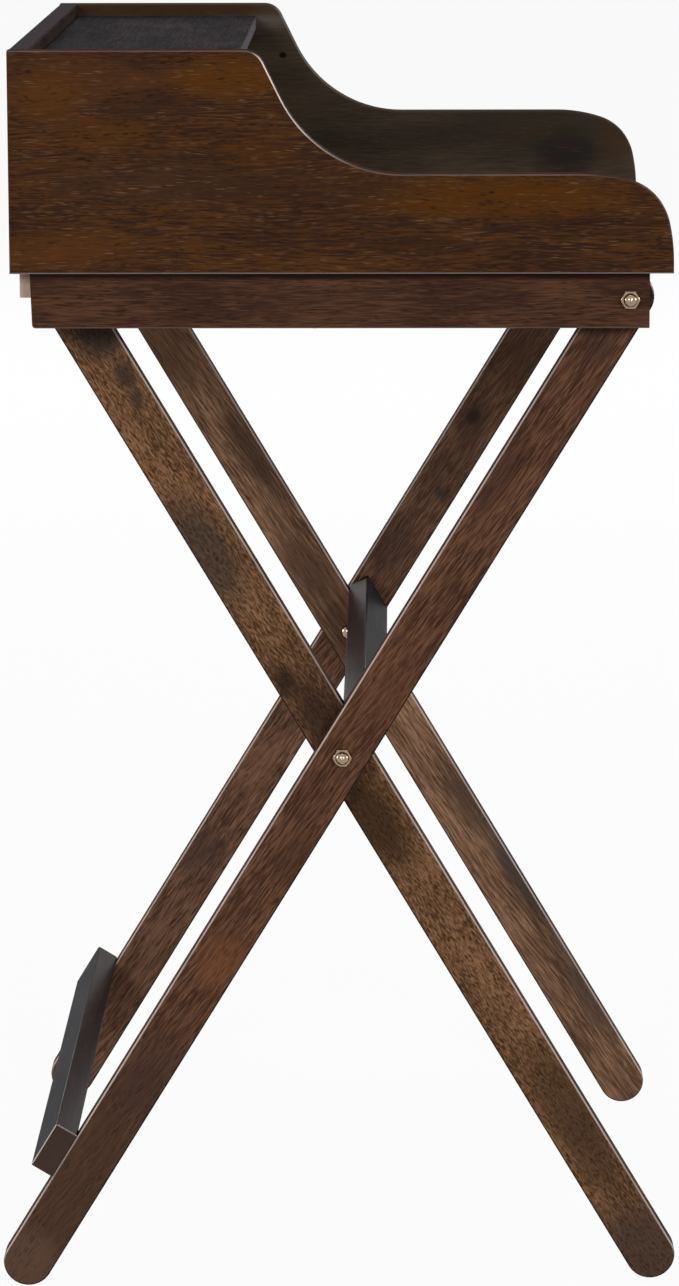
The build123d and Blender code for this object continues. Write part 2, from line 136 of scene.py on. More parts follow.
def add_node(tree: NodeTree, kind: str, inputs: dict | None = None, **settings: object) -> Node:
    """Add a node with its settings, and fill or link its inputs.

    Args:
        tree: The node tree that takes the node.
        kind: Blender's name for the kind of node, without the leading "ShaderNode".
        inputs: A value, or a socket to link from, for each named or numbered input.
        **settings: The node's own properties.

    Returns:
        The new node.
    """
    node = tree.nodes.new(f"ShaderNode{kind}")
    for name, value in settings.items():
        setattr(node, name, value)
    for key, value in (inputs or {}).items():
        if isinstance(value, NodeSocket):
            tree.links.new(value, node.inputs[key])
        else:
            node.inputs[key].default_value = value
    return node


def empty_material(name: str) -> Material:
    """Make a node material with nothing in its tree.

    Args:
        name: The material's name.

    Returns:
        The material.
    """
    material = bpy.data.materials.new(name)
    material.use_nodes = True
    material.node_tree.nodes.clear()
    return material


def put_material(piece: Object, material: Material) -> None:
    """Put one material in every slot of a piece.

    Args:
        piece: The piece that takes it.
        material: The material.
    """
    if not piece.material_slots:
        piece.data.materials.append(material)
    for slot in piece.material_slots:
        slot.material = material


@dataclass(frozen=True)
class StainCloud:
    """A soft patch where the stain took differently, placed in the board's own millimetres."""

    along: float
    across: float
    length: float
    width: float
    colour: str
    strength: float


# The figure that all the boards share, with sizes along and across the grain in millimetres
SWAY_SIZE = (220.0, 60.0)
PORE_GROUP_SIZE = (55.0, 15.0)
STRAY_SIZE = (30.0, 5.0)
# Pores stray along the grain by some of their own lengths, and across it by millimetres
STRAY_LENGTHS = 2.6
STRAY_ACROSS = 4.5
# How far a board's number moves it in the noise, so that no two boards look alike
NOISE_STEPS = (37.7, 11.3, 5.9)
DASH_STEPS = (23.1, 17.9, 3.7)
NOISE_ROUGHNESS = 0.55
NOISE_MEAN = 0.5
# Where the stain's tones lie between the lowest and the highest noise
MIDDLE_TONE = 0.5
DARK_FADE = Fade(0.1, MIDDLE_TONE)
LIGHT_FADE = Fade(MIDDLE_TONE, 0.9)
# Stain clouds go right through a board and end softly
CLOUD_DEPTH = 1000.0
CLOUD_EDGE = Fade(0.02, 0.36)
# Pores lie in groups that grow with their cover, and dust-pale flecks lie between the groups
PORE_GROUP_EDGE = Fade(0.62, 0.82)
COVER_SHIFT = 0.4
FLECK_GROUP_EDGE = Fade(0.62, 0.42)
# Dashes fade towards their rims, and this share of them is at full strength
DASH_EDGE = Fade(0.55, 0.25)
FULL_DASHES = 0.3
# Pores lie below the fibres, and streaks run from smoother to duller
PORE_RELIEF = -0.7
STREAK_ROUGHNESS = (0.46, 0.66)
# How square to a face the normal is on end grain, arrises and edges, and how far it looks down or up
END_FACING = Fade(0.9, 0.97)
OFF_EDGE = Fade(0.3, 0.5)
OFF_FACE = Fade(0.96, 0.86)
EDGE_FACING = Fade(0.4, 0.2)
UNDER_FACING = Fade(-0.1, -0.35)
UP_FACING = Fade(0.0, 0.32)
SECOND_FACING = Fade(0.8, 0.97)
# Painted arris highlights are patchy, and begin over a length in millimetres with a little highlight before
# it
PATCHY_HIGHLIGHT = Fade(0.3, 0.55)
PATCHY_LEAST = 0.55
HIGHLIGHT_RAMP = 50.0
HIGHLIGHT_BEFORE = 0.1
# Relief of the grain, its depth in millimetres, and the lacquer over it
GRAIN_RELIEF = 0.14
GRAIN_DEPTH = 0.2
LACQUER_ROUGHNESS = 0.3
LACQUER_IOR = 1.5
# Tarnish on plated metal, and how it spreads the roughness
TARNISH_FADE = Fade(0.3, 0.7)
TARNISH_ROUGHNESS = (0.8, 1.3)


@dataclass(frozen=True)
class WoodSurface:
    """What a stained face hands to its shader: its colour, grain height, roughness and lacquer."""

    colour: NodeSocket
    height: NodeSocket
    roughness: NodeSocket
    lacquer: NodeSocket


@dataclass(frozen=True)
class StainedWood:
    """Sawn and sanded hardwood, wiped with a dark walnut stain and sealed with a thin satin lacquer.

    The stain soaks in unevenly, so the eye sees cloudy warm and dark patches, streaks with the grain
    and short pores. Arrises that face up carry a painted highlight: pale lines that stand in for lamp
    light on the rounded edges. Arrises that face down and the narrow edge faces can carry painted shade
    or painted light, as each finish sets it. The lacquer is thin, so it only gives a soft shine. Sizes
    are in millimetres. Real pores are 0.2 to 0.3 wide: these are drawn about 1 wide, because finer ones
    don't show in the picture.
    """

    name: str
    dark: str
    middle: str
    light: str
    pore: str
    pore_strength: float = 0.5
    pore_length: float = 9.0
    pore_width: float = 1.2
    pore_share: float = 0.5
    pore_cover: float = 0.5
    fleck: str = "#8d6d4e"
    fleck_strength: float = 0.0
    fleck_length: float = 10.0
    fleck_width: float = 1.15
    fleck_share: float = 0.3
    mottle_length: float = 90.0
    mottle_width: float = 30.0
    mottle_gain: float = 1.3
    streak_length: float = 90.0
    streak_width: float = 3.4
    streak_gain: float = 0.9
    fibre_length: float = 26.0
    fibre_width: float = 1.5
    fibre_gain: float = 0.9
    grain_turn: float = 0.0
    waviness: float = 7.0
    # Painted highlight on the arrises: its colour, its strength, and how it fades with slope and along the
    # board
    arris_highlight: str = "#c8ab9c"
    arris_highlight_strength: float = 0.75
    # Painted shade and painted light off the floor on arrises that face down: dark colours are shade, pale
    # ones light
    under_arris_light_shade: str = "#1b1311"
    under_arris_light_shade_strength: float = 0.0
    arrises_round_ends: bool = False
    level_highlight: float = 0.22
    highlight_slope: Fade = Fade(0.1, 0.55)
    highlight_start: float = -4000.0
    edge_shine: float = 1.0
    # Painted shade and painted light on the narrow edge faces: dark colours are shade, pale ones light
    edge_face_light_shade: str = "#241b19"
    edge_face_light_shade_strength: float = 0.0
    end_grain: str = "#33251d"
    end_strength: float = 0.3
    lacquer: float = 0.06
    clouds: tuple[StainCloud, ...] = ()

    def surface(self, tree: NodeTree, centre: Vector, axes: Matrix, seed: float) -> WoodSurface:
        """Draw the finish for one board.

        Args:
            tree: The material's node tree.
            centre: The board's middle, in metres.
            axes: Columns along the grain, across the wide face and through the thickness.
            seed: A number that gives this board its own figure.

        Returns:
            The colour, height, roughness and lacquer of the surface.
        """
        coordinates = add_node(tree, "TexCoord")
        board = add_node(tree, "Mapping", {
            "Vector": coordinates.outputs["Object"], "Location": centre,
            "Rotation": axes.to_euler(), "Scale": (MM, MM, MM)}, vector_type="TEXTURE").outputs[0]
        sway = self._noise(tree, board, SWAY_SIZE, seed + Layer.SWAY, detail=3.0)
        bend = add_node(tree, "Math", {
            0: sway, 1: self.waviness * 2, 2: -self.waviness}, operation="MULTIPLY_ADD").outputs[0]
        shift = add_node(tree, "CombineXYZ", {"Y": bend}).outputs[0]
        swayed = add_node(tree, "VectorMath", {0: board, 1: shift}, operation="ADD").outputs[0]
        figure = add_node(tree, "Mapping", {
            "Vector": swayed, "Rotation": (0, 0, math.radians(self.grain_turn))},
            vector_type="TEXTURE").outputs[0]

        mottle = self._noise(
            tree, figure, (self.mottle_length, self.mottle_width), seed + Layer.MOTTLE, detail=3.0)
        streak = self._noise(
            tree, figure, (self.streak_length, self.streak_width), seed + Layer.STREAK, detail=2.0)
        fibre = self._noise(
            tree, figure, (self.fibre_length, self.fibre_width), seed + Layer.FIBRE, detail=1.0)
        colour = self._stain(tree, mottle, streak, fibre)
        colour = self._clouded(tree, colour, board, mottle)
        colour, opened = self._pored(tree, colour, figure, seed)
        colour, arris = self._painted_edges_and_end_grain(tree, colour, coordinates.outputs["Normal"], axes, board, mottle)
        height = add_node(tree, "Math", {
            0: opened, 1: PORE_RELIEF, 2: fibre}, operation="MULTIPLY_ADD").outputs[0]
        roughness = add_node(tree, "MapRange", {
            "Value": streak, "To Min": STREAK_ROUGHNESS[0], "To Max": STREAK_ROUGHNESS[1]}).outputs[0]
        lacquer = add_node(tree, "MapRange", {
            "Value": arris, "To Min": self.lacquer, "To Max": self.lacquer * self.edge_shine}).outputs[0]
        return WoodSurface(colour, height, roughness, lacquer)

    def _stain(self, tree: NodeTree, mottle: NodeSocket, streak: NodeSocket,
               fibre: NodeSocket) -> NodeSocket:
        """Run the stain from its dark to its light tone over the mottling, the streaks and the fibres.

        Args:
            tree: The material's node tree.
            mottle: Wide soft noise.
            streak: Long narrow noise.
            fibre: Fine noise.

        Returns:
            The stained colour.
        """
        tone = MIDDLE_TONE - NOISE_MEAN * (self.mottle_gain + self.streak_gain + self.fibre_gain)
        for noise, gain in (
                (mottle, self.mottle_gain), (streak, self.streak_gain), (fibre, self.fibre_gain)):
            tone = add_node(tree, "Math", {0: noise, 1: gain, 2: tone}, operation="MULTIPLY_ADD").outputs[0]
        low = add_node(tree, "MapRange", {"Value": tone, **DARK_FADE.limits()}).outputs[0]
        high = add_node(tree, "MapRange", {"Value": tone, **LIGHT_FADE.limits()}).outputs[0]
        deep = add_node(tree, "Mix", {
            SHARE: low, COLOUR_A: linear(self.dark), COLOUR_B: linear(self.middle)},
            data_type="RGBA").outputs[COLOUR_RESULT]
        return add_node(tree, "Mix", {
            SHARE: high, COLOUR_A: deep, COLOUR_B: linear(self.light)},
            data_type="RGBA").outputs[COLOUR_RESULT]

    def _clouded(self, tree: NodeTree, colour: NodeSocket, board: NodeSocket,
                 mottle: NodeSocket) -> NodeSocket:
        """Lay the placed stain clouds over a colour, with ragged edges from the mottling.

        Args:
            tree: The material's node tree.
            colour: The stained colour.
            board: Place on the board, in millimetres.
            mottle: Wide soft noise.

        Returns:
            The clouded colour.
        """
        for cloud in self.clouds:
            patch = add_node(tree, "Mapping", {
                "Vector": board, "Location": (cloud.along, cloud.across, 0),
                "Scale": (cloud.length / 2, cloud.width / 2, CLOUD_DEPTH)},
                vector_type="TEXTURE").outputs[0]
            reach = add_node(tree, "TexGradient", {
                "Vector": patch}, gradient_type="SPHERICAL").outputs["Fac"]
            ragged = add_node(tree, "Math", {0: reach, 1: mottle}, operation="MULTIPLY").outputs[0]
            share = add_node(tree, "MapRange", {
                "Value": ragged, **CLOUD_EDGE.limits(), "To Max": cloud.strength},
                interpolation_type="SMOOTHSTEP").outputs[0]
            colour = add_node(tree, "Mix", {
                SHARE: share, COLOUR_A: colour, COLOUR_B: linear(cloud.colour)},
                data_type="RGBA").outputs[COLOUR_RESULT]
        return colour

    def _pored(self, tree: NodeTree, colour: NodeSocket, figure: NodeSocket,
               seed: float) -> tuple[NodeSocket, NodeSocket]:
        """Open the pores: short dark dashes, and pale ones where sanding dust filled them.

        Args:
            tree: The material's node tree.
            colour: The clouded colour.
            figure: Place along and across the grain, in millimetres.
            seed: The board's own number.

        Returns:
            The colour with its pores, and how far each point is inside a pore.
        """
        gathered = self._noise(tree, figure, PORE_GROUP_SIZE, seed + Layer.PORE_GROUPS, detail=1.0)
        dashes = self._dashes(
            tree, figure, (self.pore_length, self.pore_width), self.pore_share, seed + Layer.PORES)
        shift = COVER_SHIFT * self.pore_cover
        grouped = add_node(tree, "MapRange", {
            "Value": gathered, "From Min": PORE_GROUP_EDGE.nothing - shift,
            "From Max": PORE_GROUP_EDGE.full - shift}).outputs[0]
        opened = add_node(tree, "Math", {0: dashes, 1: grouped}, operation="MULTIPLY").outputs[0]
        share = add_node(tree, "Math", {0: opened, 1: self.pore_strength}, operation="MULTIPLY").outputs[0]
        colour = add_node(tree, "Mix", {
            SHARE: share, COLOUR_A: colour, COLOUR_B: linear(self.pore)},
            data_type="RGBA").outputs[COLOUR_RESULT]
        if not self.fleck_strength:
            return colour, opened
        pale = self._dashes(
            tree, figure, (self.fleck_length, self.fleck_width), self.fleck_share, seed + Layer.FLECKS)
        spread = add_node(tree, "MapRange", {"Value": gathered, **FLECK_GROUP_EDGE.limits()}).outputs[0]
        filled = add_node(tree, "Math", {0: pale, 1: spread}, operation="MULTIPLY").outputs[0]
        share = add_node(tree, "Math", {0: filled, 1: self.fleck_strength}, operation="MULTIPLY").outputs[0]
        colour = add_node(tree, "Mix", {
            SHARE: share, COLOUR_A: colour, COLOUR_B: linear(self.fleck)},
            data_type="RGBA").outputs[COLOUR_RESULT]
        return colour, opened

    def _painted_edges_and_end_grain(self, tree: NodeTree, colour: NodeSocket, normal: NodeSocket,
                axes: Matrix, board: NodeSocket, mottle: NodeSocket
                ) -> tuple[NodeSocket, NodeSocket]:
        """Paint highlights on the arrises, most where they face up, paint shade and light on the arrises
        that face down and on the edge faces, and deepen the end grain.

        Args:
            tree: The material's node tree.
            colour: The colour with its pores.
            normal: The surface normal in the object's own space.
            axes: Columns along the grain, across the wide face and through the thickness.
            board: Place on the board, in millimetres.
            mottle: Wide soft noise, which breaks the painted highlight lines up.

        Returns:
            The finished colour, and how far each point is on an arris.
        """
        arris_face = axes.col[0] if self.arrises_round_ends else axes.col[2]
        ended, facing = [
            add_node(tree, "VectorMath", {0: normal, 1: face}, operation="DOT_PRODUCT").outputs["Value"]
            for face in (axes.col[0], arris_face)]
        ended, facing = [
            add_node(tree, "Math", {0: turn}, operation="ABSOLUTE").outputs[0] for turn in (ended, facing)]
        end_share = add_node(tree, "MapRange", {
            "Value": ended, **END_FACING.limits(), "To Max": self.end_strength}).outputs[0]
        # Painted shade and painted light on the narrow edge faces
        edge_face_share = add_node(tree, "MapRange", {
            "Value": facing, **EDGE_FACING.limits(), "To Max": self.edge_face_light_shade_strength}).outputs[0]
        off_edge = add_node(tree, "MapRange", {"Value": facing, **OFF_EDGE.limits()}).outputs[0]
        off_face = add_node(tree, "MapRange", {"Value": facing, **OFF_FACE.limits()}).outputs[0]
        arris = add_node(tree, "Math", {0: off_edge, 1: off_face}, operation="MULTIPLY").outputs[0]
        turned = add_node(tree, "SeparateXYZ", {0: normal})
        # Painted shade and painted floor light on arrises that face down, the finish's colour setting which
        under = add_node(tree, "MapRange", {
            "Value": turned.outputs["Z"], **UNDER_FACING.limits(),
            "To Max": self.under_arris_light_shade_strength}).outputs[0]
        under_arris_light_shade_share = add_node(tree, "Math", {0: arris, 1: under}, operation="MULTIPLY").outputs[0]

        # Painted highlight: pale arris lines where the arris faces up and to the front or back, as lamp
        # light would fall on it
        upward = add_node(tree, "MapRange", {
            "Value": turned.outputs["Z"], **UP_FACING.limits()}).outputs[0]
        level = add_node(tree, "Math", {0: turned.outputs["Y"]}, operation="ABSOLUTE").outputs[0]
        front_back_facing = add_node(tree, "MapRange", {
            "Value": level, **self.highlight_slope.limits(), "To Min": self.level_highlight}).outputs[0]
        patchy = add_node(tree, "MapRange", {
            "Value": mottle, **PATCHY_HIGHLIGHT.limits(), "To Min": PATCHY_LEAST}).outputs[0]
        along = add_node(tree, "SeparateXYZ", {0: board}).outputs["X"]
        begun = add_node(tree, "MapRange", {
            "Value": along, "From Min": self.highlight_start, "From Max": self.highlight_start + HIGHLIGHT_RAMP,
            "To Min": HIGHLIGHT_BEFORE}).outputs[0]
        highlight_share = self.arris_highlight_strength
        for factor in (arris, upward, front_back_facing, patchy, begun):
            highlight_share = add_node(tree, "Math", {0: highlight_share, 1: factor}, operation="MULTIPLY").outputs[0]
        for share, tone in ((end_share, self.end_grain), (edge_face_share, self.edge_face_light_shade),
                            (under_arris_light_shade_share, self.under_arris_light_shade), (highlight_share, self.arris_highlight)):
            colour = add_node(tree, "Mix", {
                SHARE: share, COLOUR_A: colour, COLOUR_B: linear(tone)},
                data_type="RGBA").outputs[COLOUR_RESULT]
        return colour, arris

    @staticmethod
    def _noise(tree: NodeTree, place: NodeSocket, size: tuple[float, float],
               seed: float, detail: float) -> NodeSocket:
        """Draw noise that is stretched with the grain.

        Args:
            tree: The material's node tree.
            place: Place along and across the grain, in millimetres.
            size: About how long and wide its features are, in millimetres.
            seed: The number of the board and the layer.
            detail: How many finer layers it has.

        Returns:
            The noise, from 0 to 1.
        """
        length, width = size
        shrunk = add_node(tree, "Mapping", {
            "Vector": place, "Location": [seed * step for step in NOISE_STEPS],
            "Scale": (1 / length, 1 / width, 1 / width)}).outputs[0]
        return add_node(tree, "TexNoise", {
            "Vector": shrunk, "Scale": 1.0, "Detail": detail, "Roughness": NOISE_ROUGHNESS}).outputs[0]

    @staticmethod
    def _dashes(tree: NodeTree, place: NodeSocket, cell: tuple[float, float],
                kept: float, seed: float) -> NodeSocket:
        """Draw short dashes with the grain, strayed from their rows.

        Args:
            tree: The material's node tree.
            place: Place along and across the grain, in millimetres.
            cell: How long and wide the room for each dash is, in millimetres.
            kept: The share of the cells that have a dash.
            seed: The number of the board and the layer.

        Returns:
            How far each point is inside a dash, from 0 to 1.
        """
        length, width = cell
        stray_length, stray_width = STRAY_SIZE
        coarse = add_node(tree, "Mapping", {
            "Vector": place, "Scale": (1 / stray_length, 1 / stray_width, 1 / stray_width)}).outputs[0]
        loose = add_node(tree, "TexNoise", {"Vector": coarse, "Scale": 1.0, "Detail": 1.0}).outputs["Color"]
        strayed = add_node(tree, "VectorMath", {
            0: loose, 1: (STRAY_LENGTHS * length, STRAY_ACROSS, 0), 2: place},
            operation="MULTIPLY_ADD").outputs[0]
        shrunk = add_node(tree, "Mapping", {
            "Vector": strayed, "Location": [seed * step for step in DASH_STEPS],
            "Scale": (1 / length, 1 / width, 1 / width)}).outputs[0]
        cells = add_node(tree, "TexVoronoi", {"Vector": shrunk, "Scale": 1.0})
        dash = add_node(tree, "MapRange", {
            "Value": cells.outputs["Distance"], **DASH_EDGE.limits()},
            interpolation_type="SMOOTHSTEP").outputs[0]
        chance = add_node(tree, "SeparateColor", {0: cells.outputs["Color"]}).outputs[0]
        taken = add_node(tree, "MapRange", {
            "Value": chance, "From Min": kept, "From Max": kept * FULL_DASHES}).outputs[0]
        return add_node(tree, "Math", {0: dash, 1: taken}, operation="MULTIPLY").outputs[0]


@dataclass(frozen=True)
class PlatedMetal:
    """Turned or stamped steel with a thin bright plate, with fine tool marks and clear reflections.

    Sizes are in millimetres.
    """

    name: str
    colour: str
    tarnish: str
    roughness: float
    tarnish_size: float = 3.0
    mark_spacing: float = 0.5
    mark_relief: float = 0.05
    mark_depth: float = 0.05

    def material(self) -> Material:
        """Make the finish.

        Returns:
            The material.
        """
        material = empty_material(self.name)
        tree = material.node_tree
        place = add_node(tree, "TexCoord").outputs["Object"]
        small = add_node(tree, "Mapping", {"Vector": place, "Scale": (1 / MM, 1 / MM, 1 / MM)}).outputs[0]
        blotch = add_node(tree, "TexNoise", {
            "Vector": small, "Scale": 1 / self.tarnish_size, "Detail": 3.0}).outputs[0]
        marks = add_node(tree, "TexNoise", {
            "Vector": small, "Scale": 1 / self.mark_spacing, "Detail": 2.0}).outputs[0]
        colour = add_node(tree, "Mix", {
            SHARE: blotch, COLOUR_A: linear(self.colour), COLOUR_B: linear(self.tarnish)},
            data_type="RGBA").outputs[COLOUR_RESULT]
        roughness = add_node(tree, "MapRange", {
            "Value": blotch, **TARNISH_FADE.limits(), "To Min": self.roughness * TARNISH_ROUGHNESS[0],
            "To Max": self.roughness * TARNISH_ROUGHNESS[1]}).outputs[0]
        bump = add_node(tree, "Bump", {
            "Strength": self.mark_relief, "Distance": self.mark_depth * MM, "Height": marks}).outputs[0]
        shader = add_node(tree, "BsdfPrincipled", {
            "Base Color": colour, "Metallic": 1.0, "Roughness": roughness, "Normal": bump})
        add_node(tree, "OutputMaterial", {"Surface": shader.outputs[0]})
        return material


# Side panels: oak-like open grain, warm ochre where the stain is thin and red-brown where it pooled,
# with dust-pale flecks in the pores
# Their arrises carry a bright painted highlight, strongest on the forward-facing slope, and their bottom
# arris a pale painted highlight of light off the floor
PANEL_WOOD = StainedWood(
    name="walnut_stained_oak_panel", dark="#301e15", middle="#3d2517", light="#4d2e15", pore="#23150f",
    pore_strength=0.9, pore_length=7.0, pore_width=1.2, pore_share=0.7, fleck="#7c5d42",
    fleck_strength=0.44, fleck_length=10.0, fleck_width=0.65, fleck_share=0.38, mottle_length=120.0,
    mottle_width=30.0, mottle_gain=1.4, streak_length=60.0, streak_width=2.2, streak_gain=0.9,
    fibre_length=16.0, fibre_width=1.05, fibre_gain=2.9, waviness=10.0, arris_highlight="#f6e6da",
    arris_highlight_strength=0.9, level_highlight=0.1, highlight_slope=Fade(0.25, 0.64), highlight_start=-215.0,
    under_arris_light_shade="#8b7e77", under_arris_light_shade_strength=0.75, lacquer=0.04, clouds=(
        StainCloud(190, 58, 200, 70, "#4b2d1a", 0.55), StainCloud(213, 50, 76, 60, "#54310f", 0.6),
        StainCloud(171, 21, 100, 36, "#50300f", 0.55), StainCloud(140, -16, 220, 44, "#38261b", 0.55),
        StainCloud(85, 62, 120, 46, "#53300c", 0.65),
        StainCloud(-117, -27, 280, 44, "#4f2d09", 0.65), StainCloud(209, -64, 160, 40, "#523015", 0.6),
        StainCloud(60, 8, 90, 36, "#4e2d0f", 0.5), StainCloud(142, 42, 90, 36, "#332217", 0.5),
        StainCloud(32, -18, 250, 40, "#342116", 0.5), StainCloud(-193, -44, 120, 10, "#291911", 0.7),
        StainCloud(-57, -61, 120, 20, "#2d1d13", 0.55), StainCloud(105, 4, 130, 16, "#302014", 0.55)))
RIGHT_PANEL_WOOD = replace(PANEL_WOOD, name="walnut_stained_oak_panel_right", clouds=(
    StainCloud(170, 30, 230, 60, "#54310c", 0.7), StainCloud(-90, -40, 260, 40, "#4f2d09", 0.65),
    StainCloud(110, -50, 190, 36, "#342116", 0.55), StainCloud(40, 20, 120, 40, "#523015", 0.6),
    StainCloud(-190, -60, 130, 24, "#2d1d13", 0.55), StainCloud(215, -20, 90, 60, "#332217", 0.5)))
BACK_WOOD = replace(PANEL_WOOD, name="walnut_stained_oak_back", clouds=(
    StainCloud(-150, 20, 260, 70, "#54310c", 0.65), StainCloud(140, -30, 240, 50, "#342116", 0.55),
    StainCloud(70, 45, 300, 40, "#4f2d09", 0.65), StainCloud(-40, -40, 180, 40, "#302014", 0.55),
    StainCloud(220, 30, 120, 60, "#523015", 0.6)))
# Inside the tray the panels are painted duller and greyer: painted shade where the tray's sides shade each
# other, with a dimmer painted highlight on the arrises
SHADED_INSIDE_PANEL_WOOD = replace(
    PANEL_WOOD, name="walnut_stained_oak_panel_painted_shade", dark="#372e25", middle="#463b30", light="#534433",
    streak_gain=0.4, fibre_gain=1.0, fleck_strength=0.15, pore_strength=0.25, arris_highlight="#8f8379",
    arris_highlight_strength=0.5, lacquer=0.05, clouds=(
        StainCloud(120, 10, 240, 60, "#2c251f", 0.7), StainCloud(-110, -40, 240, 50, "#4a3a26", 0.6)))
# The far panel's inner face and edges: the same painted shade, with a knot and clouds of its own
FAR_PANEL_WOOD = replace(SHADED_INSIDE_PANEL_WOOD, name="walnut_stained_oak_panel_knotty", clouds=(
    StainCloud(56, 39, 9, 7, "#120d0b", 0.95), StainCloud(65, 72, 54, 34, "#5d544c", 0.7),
    StainCloud(-187, -44, 90, 60, "#22201f", 0.9),
    StainCloud(-144, -26, 90, 24, "#4f3d27", 0.6), StainCloud(-59, -30, 150, 30, "#2f2822", 0.6),
    StainCloud(-150, -20, 240, 90, "#2c251f", 0.75), StainCloud(-228, -32, 50, 90, "#3c2b1f", 0.8),
    StainCloud(150, 78, 380, 22, "#3d281a", 0.85)))
# Rails: straight strips with dark pores, a painted shadow band under the panels, a painted highlight on the
# upper arrises and a pale painted highlight of floor light on the bottom arris
RAIL_WOOD = StainedWood(
    name="walnut_stained_rail_strip", dark="#35221a", middle="#452c1f", light="#553827", pore="#23140d",
    pore_strength=0.6, pore_length=8.0, pore_width=1.4, pore_share=0.9, pore_cover=0.8, fibre_length=18.0,
    fibre_width=1.0, fibre_gain=2.2, mottle_gain=1.9, arris_highlight="#8d7262", under_arris_light_shade="#6f5a4e",
    under_arris_light_shade_strength=0.6, clouds=(
        # Painted shadow: a dark band along the top, where the panels above shade the rail
        StainCloud(0, 20.5, 4000, 13, "#140c09", 0.95),))
# The cleat shares the rails' finish, its painted shadow band and painted highlights included
CLEAT_WOOD = replace(
    RAIL_WOOD, name="walnut_stained_cleat_strip", end_grain="#c4a899", end_strength=0.95)
# Outer legs: fine straight grain in a red-brown stain, with a painted highlight on their upper arrises
# and painted shade on their lower arrises and narrow edge faces
OUTER_LEG_WOOD = StainedWood(
    name="walnut_stained_red_leg", dark="#3e271d", middle="#56392a", light="#6d4a35", pore="#2b1910",
    pore_strength=0.6, pore_length=8.0, pore_width=1.1, pore_share=0.9, pore_cover=0.8, fibre_length=14.0,
    fibre_width=0.9, fibre_gain=2.8, grain_turn=5.0, mottle_gain=0.7, streak_width=2.2, streak_gain=0.35,
    arris_highlight="#c8b4a8", under_arris_light_shade_strength=0.85, edge_face_light_shade_strength=0.5, clouds=(
        StainCloud(370, 0, 330, 140, "#473428", 0.75), StainCloud(440, 2, 70, 70, "#61483a", 0.7),
        # Painted shade: the top end, under the rail, darkened
        StainCloud(-452, 0, 60, 90, "#272021", 0.95),
        StainCloud(262, -5, 130, 60, "#412e27", 0.6), StainCloud(156, -4, 70, 50, "#74492c", 0.6),
        StainCloud(56, -10, 80, 40, "#452e20", 0.5), StainCloud(-280, 10, 120, 26, "#3a261e", 0.6),
        StainCloud(-400, 4, 70, 50, "#3a2821", 0.6), StainCloud(-90, -6, 120, 40, "#613f2e", 0.5)))
# The far outer leg: lighter tones than the near one, painted light that lifts it out of the shade it stands
# in
FAR_OUTER_LEG_WOOD = replace(
    OUTER_LEG_WOOD, name="walnut_stained_red_leg_far_painted_light", dark="#442f24", middle="#614434", light="#7a5844",
    clouds=(
        StainCloud(-320, 0, 190, 80, "#3c291c", 0.7), StainCloud(-190, -4, 120, 60, "#3e2d22", 0.5),
        StainCloud(-242, 5, 22, 18, "#261c18", 0.9), StainCloud(-170, -6, 18, 12, "#37302f", 0.9),
        StainCloud(-110, 6, 90, 50, "#423129", 0.65), StainCloud(-240, 4, 60, 40, "#33261e", 0.6),
        StainCloud(208, 6, 70, 56, "#48372f", 0.65), StainCloud(120, 4, 90, 50, "#7d5843", 0.5)))
# Inner legs: golden, crowded with short dark pores, and clouded dark near the crossing and the ends,
# with a painted highlight on their upper arrises and painted shade on their lower arrises and narrow edge
# faces
INNER_LEG_WOOD = StainedWood(
    name="walnut_stained_golden_leg", dark="#473120", middle="#6d4c34", light="#886345", pore="#26160a",
    pore_strength=0.7, pore_length=4.4, pore_width=1.25, pore_share=1.0, pore_cover=1.0, fibre_length=5.0,
    fibre_width=0.95, fibre_gain=2.4, grain_turn=-5.0, mottle_gain=1.0, streak_gain=0.4,
    arris_highlight="#c8b4a8", under_arris_light_shade_strength=0.85, edge_face_light_shade_strength=0.5, clouds=(
        StainCloud(98, -10, 44, 30, "#2b1e18", 0.9), StainCloud(60, 4, 130, 70, "#33241b", 0.85),
        StainCloud(400, 6, 70, 60, "#2d2521", 0.9), StainCloud(360, 8, 36, 24, "#3a2c23", 0.85),
        StainCloud(340, 6, 26, 18, "#3d2f26", 0.85), StainCloud(216, -10, 130, 64, "#3a312b", 0.75),
        StainCloud(-28, -6, 130, 64, "#352517", 0.85), StainCloud(-294, 6, 140, 60, "#4a3423", 0.75),
        StainCloud(-345, 4, 130, 50, "#493425", 0.7), StainCloud(-430, 0, 120, 80, "#46362d", 0.85)))
# The far inner leg: lighter tones than the near one, painted light that lifts it out of the shade it stands
# in
FAR_INNER_LEG_WOOD = replace(
    INNER_LEG_WOOD, name="walnut_stained_golden_leg_cloudy", dark="#4e382b", middle="#775741",
    light="#987459", pore="#33231a", pore_strength=0.5, pore_length=9.0, pore_width=1.2,
    fibre_length=18.0, fibre_gain=2.0, clouds=(
        StainCloud(336, -6, 160, 70, "#4d3627", 0.7), StainCloud(200, 10, 140, 30, "#433228", 0.8),
        StainCloud(90, 0, 120, 60, "#523b2e", 0.75), StainCloud(14, 0, 130, 60, "#413026", 0.8),
        StainCloud(-150, 12, 110, 36, "#4a3a30", 0.75), StainCloud(-240, 16, 170, 30, "#413833", 0.85),
        StainCloud(-350, 14, 150, 32, "#514239", 0.75)))
# Stretchers: a deep stain, nearly black-brown, with bright painted highlights on the arrises round their
# ends
STRETCHER_WOOD = StainedWood(
    name="walnut_stained_dark_stretcher", dark="#241a18", middle="#31231f", light="#3e2d28", pore="#170f10",
    pore_strength=0.5, arris_highlight="#b9aca6", arris_highlight_strength=1.0, arrises_round_ends=True, end_grain="#43332a",
    end_strength=0.7, lacquer=0.13)
